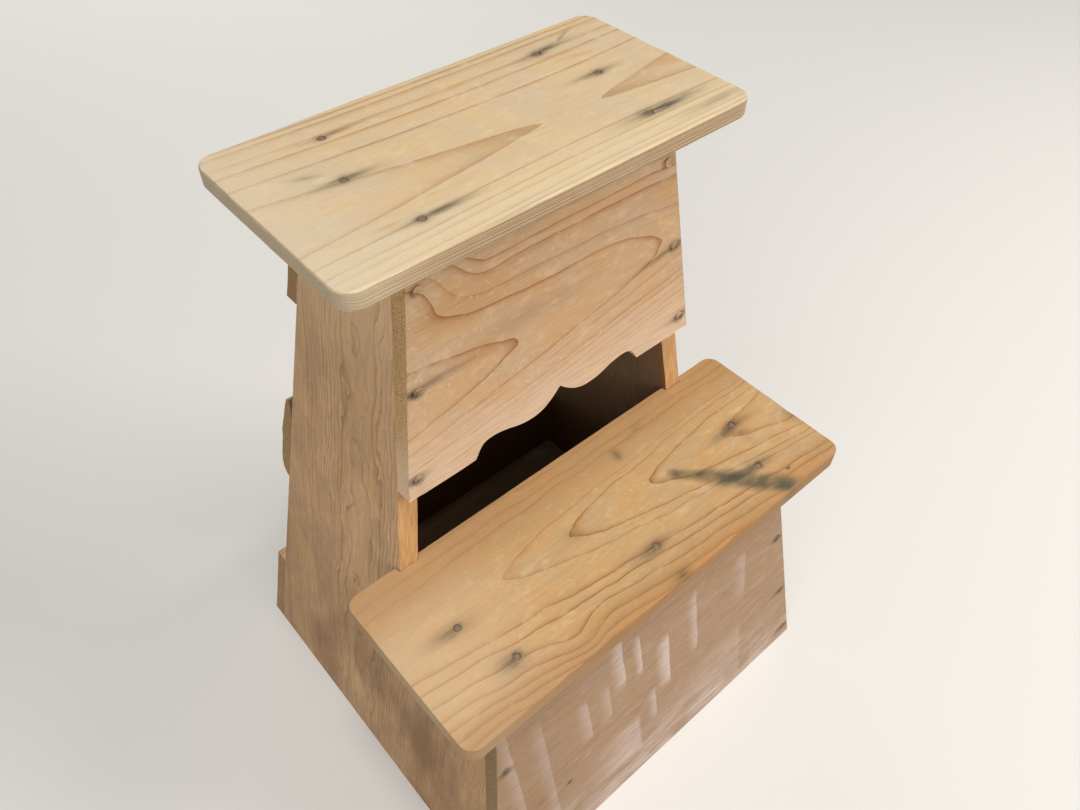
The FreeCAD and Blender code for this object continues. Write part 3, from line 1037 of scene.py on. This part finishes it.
PANEL_MARKS = (
    *((s * mid_side(z), z, 7, 3.8, 0.93)
      for z in (17.3, 92.2, 187.2) for s in (-1, 1)),
    (-115, 90, 3.2, 2.4, 0.95), (-148, 98, 7, 5, 0.35),
    (186, 92, 12, 3, 0.4), (200, 17, 12, 4, 0.5),
    (96, 172, 6, 5, 0.2))
# Saw strokes: sharp edge, width, middle, reach up and down, strength
STROKES = (
    (-38, 20, 200, 36, 0.75), (-16.7, 12, 190, 30, 0.75),
    (20, 22, 147, 40, 0.9), (58, 16, 168, 48, 0.55), (-57, 18, 160, 26, 0.4),
    (-82, 20, 160, 32, 0.45), (0, 14, 95, 26, 0.6), (128, 26, 178, 34, 0.3),
    (-131, 18, 120, 100, 0.4), (-165, 16, 150, 130, 0.45),
    (-20, 90, 65, 34, 0.5), (130, 120, 40, 60, 0.28))


def lower_tread_marks(net, grid, colour):
    """Resin streaks, the slanting grey stain and a painted shade at the back.
    """
    x, y, _ = net.split(grid)
    colour = net.mix(net.ease(x, -60, -200, 0, 0.45), colour,
                     TINTS["faded"])
    # Painted shade: the back of the step is darkened where the upper part
    # shades it; the same tan darkens the handled front edge
    dark = net.most(net.ease(y, -95, -35, 0, 0.68),
                    net.ease(y, -150, -180, 0, 0.5))
    colour = net.mix(dark, colour, TINTS["handled"])
    colour = stained(net, grid, colour, ((158, -98, 26, 1.5, 0.18),
                                         (170, -104, 22, 1.2, 0.1)),
                     "resin", 0.6)
    colour = stained(net, grid, colour, ((30, -186, 110, 7, 0),),
                     "warm_edge", 0.35)
    gap = net.vector("SUBTRACT", grid, (113.5, -144.5, 0))
    along, across, _ = net.split(net.turned(gap, 0.82))
    ragged = net.noise(grid, (30, 13, 13), 3, 0.5, 3)
    across = net.sum(across, net.times(net.minus(ragged, 0.5), 8))
    across = net.over(net.math("ABSOLUTE", across),
                      net.ease(along, -60, 0, 6, 11.5))
    patch = net.noise(grid, (24, 11, 11), 2, 0.5, 6)
    band = net.times(net.ease(across, 0.2, 1.25, 1, 0),
                     net.ease(y, -187, -181),
                     net.ease(along, -64, -50),
                     net.ease(along, 44, 66, 1, 0),
                     net.ease(patch, 0.3, 0.6, 0.6, 1))
    return net.mix(band, colour, TINTS["tar"])


def top_tread_marks(net, grid, colour):
    """The greyer left end, the paler front, and small resin streaks."""
    x, y, z = net.split(grid)
    front = net.times(net.ease(y, 15, -38, 0, 0.45),
                      net.ease(z, -3, -0.8))
    colour = net.mix(front, colour, TINTS["bleached"])
    colour = net.mix(net.ease(x, -70, -200, 0, 0.55), colour,
                     TINTS["grey_end"])
    return stained(net, grid, colour,
                   ((118, 84, 13, 2.6, 0.12),
                    (98, 96, 14, 1.6, 0.1),
                    (-118, -5, 10, 2, 0.1),
                    (15, 104, 16, 1.4, 0),
                    (168, 33, 20, 6, 0.1)), "amber", 0.5)


def upper_panel_marks(net, grid, colour):
    """The upper panel is paler and pinker towards its shaped edge."""
    y = net.split(grid)[1]
    hairs = net.noise(grid, (30, 1.6, 1.6), 3, 0.6, 2)
    low = net.times(net.ease(y, 470, 400),
                    net.ease(hairs, 0.25, 0.65, 0.35, 0.9))
    return net.mix(low, colour, TINTS["rosy"])


def sawn_panel_marks(net, grid, colour):
    """Pale saw strokes; the foot whitish and fibrous, the left darker."""
    white = net.most(*(
        net.use(STROKE, Vector=grid, Edge=edge, Width=width, Middle=middle,
                Reach=reach, Strength=strength)["Stroke"]
        for edge, width, middle, reach, strength in STROKES))
    colour = net.mix(white, colour, SAWN["white"])
    x, y, _ = net.split(grid)
    hairs = net.noise(grid, (34, 1, 1), 3, 0.65, 5)
    patch = net.noise(grid, (70, 24, 24), 2, 0.5, 1)
    white = net.times(net.ease(y, 95, 10), net.ease(hairs, 0.35, 0.62),
                      net.ease(patch, 0.35, 0.6), 0.6)
    colour = net.mix(white, colour, SAWN["white"])
    dark = net.most(net.times(net.ease(hairs, 0.5, 0.38), 0.28),
                    net.ease(x, -40, -150, 0, 0.24))
    return net.mix(dark, colour, SAWN["latest"])


def side_marks(net, grid, colour):
    """Paler at its head, painted shade at its foot, fresh on its front edge.
    """
    front = net.facing(FRONT, 0.7, 0.95)
    hair = net.noise(grid, (60, 2.2, 1.6), 3, 0.6, 7)
    fresh = net.mix(net.ease(hair, 0.35, 0.65), TINTS["fresh"],
                    TINTS["fresh_dark"])
    height = net.math("ABSOLUTE", net.split(grid)[0])
    # Paler towards its head
    colour = net.mix(net.ease(height, 380, 590, 0, 0.45), colour,
                     TINTS["sunned"])
    # Painted shade: darkened in patches towards the foot, where the lower step
    # shades the side
    patch = net.ease(net.noise(grid, (150, 60, 60), 3, 0.55, 2.7),
                     0.42, 0.72)
    foot = net.ease(height, 400, 60, 0, 0.55)
    colour = net.mix(net.sum(net.times(patch, foot), net.times(foot, 0.35)),
                     colour, TINTS["damp"])
    return net.mix(net.times(front, 0.85), colour, fresh)


def rail(name, height, seed):
    """A back rail's row in the table of boards."""
    return ("brown_cedar", "brown cedar %s rail" % name, RAIL_LAY, ALONG_X,
            FRONT, dict(RAIL_RINGS, Apex=(30, -height, 0), Seed=seed),
            BROWN, (), None)


# Each board's slot, material name, lay, grain, inside, rings, palette,
# marks and what else it shows
BOARDS = {
    "top_step": (
        "pale_cedar", "pale planed cedar", TOP_LAY, ALONG_X, None,
        TOP_RINGS, PALE, TOP_MARKS, top_tread_marks),
    "lower_step": (
        "honey_cedar", "honey planed cedar", LOWER_LAY, ALONG_X, None,
        LOWER_RINGS, HONEY, LOWER_MARKS, lower_tread_marks),
    "left_side": (
        "brown_cedar", "brown cedar left", LEFT_LAY, ALONG_Z, RIGHT,
        SIDE_RINGS, BROWN, (), side_marks),
    "right_side": (
        "brown_cedar", "brown cedar right", RIGHT_LAY, ALONG_Z, LEFT,
        RIGHT_RINGS, BROWN, (), side_marks),
    "upper_front_panel": (
        "pink_cedar", "pink cedar", UPPER_LAY, ALONG_X, BACK,
        UPPER_RINGS, PINK, UPPER_MARKS, upper_panel_marks),
    "lower_front_panel": (
        "sawn_cedar", "sawn cedar", PLAIN_LAY, ALONG_X, BACK,
        PLAIN_RINGS, SAWN, PANEL_MARKS, sawn_panel_marks),
    "back_rail_top": rail("upper", 520, 6),
    "back_rail_middle": rail("middle", 310, 9),
    "back_rail_bottom": rail("lower", 50, 12),
}
FINISHES = {node: (slot, cedar(*finish))
            for node, (slot, *finish) in BOARDS.items()}
OLD_IRON = ("nail_iron", nail_iron("old iron"))
for node, piece in PIECES.items():
    slot, finish = FINISHES.get(node, OLD_IRON)
    piece.data.materials.clear()
    piece.data.materials.append(finish)
    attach(piece, "root")
    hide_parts(node)


# ---------------- studio
bm = bmesh.new()
bmesh.ops.create_grid(bm, x_segments=1, y_segments=1, size=12)
bmesh.ops.translate(bm, verts=bm.verts[:], vec=(0, 0, -0.0004))
floor = finished(bm, None, "floor")
floor_paint = bpy.data.materials.new("floor")
floor_paint.use_nodes = True
shader = floor_paint.node_tree.nodes["Principled BSDF"]
shader.inputs["Base Color"].default_value = srgb(206, 203, 197)
shader.inputs["Roughness"].default_value = 0.7
floor.data.materials.append(floor_paint)


def light(name, kind, energy, colour, place, way, **shape):
    """A lamp at a place, shining the given way."""
    lamp = bpy.data.lights.new(name, kind)
    for key, value in shape.items():
        setattr(lamp, key, value)
    lamp.energy = energy
    lamp.color = colour
    holder = bpy.data.objects.new(name, lamp)
    holder.location = place
    holder.rotation_euler = Vector(way).to_track_quat("-Z", "Y").to_euler()
    bpy.context.scene.collection.objects.link(holder)


def soft_light(name, place, size, watts, colour):
    """A large soft lamp, turned to the middle of the stool."""
    light(name, "AREA", watts, colour, place,
          Vector((0, 0, 0.3)) - Vector(place), shape="RECTANGLE",
          size=size[0], size_y=size[1])


soft_light("window", (1.8, -1.6, 2), (1.4, 1), 62, (1, 0.97, 0.93))
light("daylight", "SUN", 2.15, (0.97, 0.98, 1), (0, 0, 0),
      (0.05, 0.21, -1), angle=math.radians(18))
soft_light("bounce", (-2.2, -1.3, 1.5), (1.8, 1.6), 32, (1, 0.98, 0.95))
soft_light("rear", (0.8, 2.6, 1.1), (2.2, 1.4), 16, (1, 0.98, 0.96))

# The far wall looks pale, and throws little light into the stool
world = bpy.data.worlds.new("room")
world.use_nodes = True
room = Net(world.node_tree)
backdrop = world.node_tree.nodes["Background"].inputs
backdrop["Color"].default_value = (0.92, 0.93, 0.95, 1)
seen = room.add("LightPath").outputs["Is Camera Ray"]
room.feed(backdrop["Strength"], room.add(
    "MapRange",
    {"Value": seen, "To Min": 0.045, "To Max": 0.62}).outputs[0])
scene = bpy.context.scene
scene.world = world
scene.view_settings.view_transform = "Standard"

azimuth, elevation, roll = (math.radians(a) for a in (41.768, 47.22, 0.92))
right = Vector((math.cos(azimuth), -math.sin(azimuth), 0))
up = Vector((math.sin(azimuth) * math.sin(elevation),
             math.cos(azimuth) * math.sin(elevation), math.cos(elevation)))
ahead = up.cross(right)
turned_right = right * math.cos(roll) + up * math.sin(roll)
turned_up = up * math.cos(roll) - right * math.sin(roll)
lens = bpy.data.cameras.new("camera")
lens.lens = 29.31
lens.sensor_width = 36
lens.clip_start = 0.01
camera = bpy.data.objects.new("camera", lens)
camera.matrix_world = Matrix.Translation((-0.3363, -0.3877, 0.9177)) @ Matrix(
    (turned_right, turned_up, -ahead)).transposed().to_4x4()
scene.collection.objects.link(camera)
scene.camera = camera
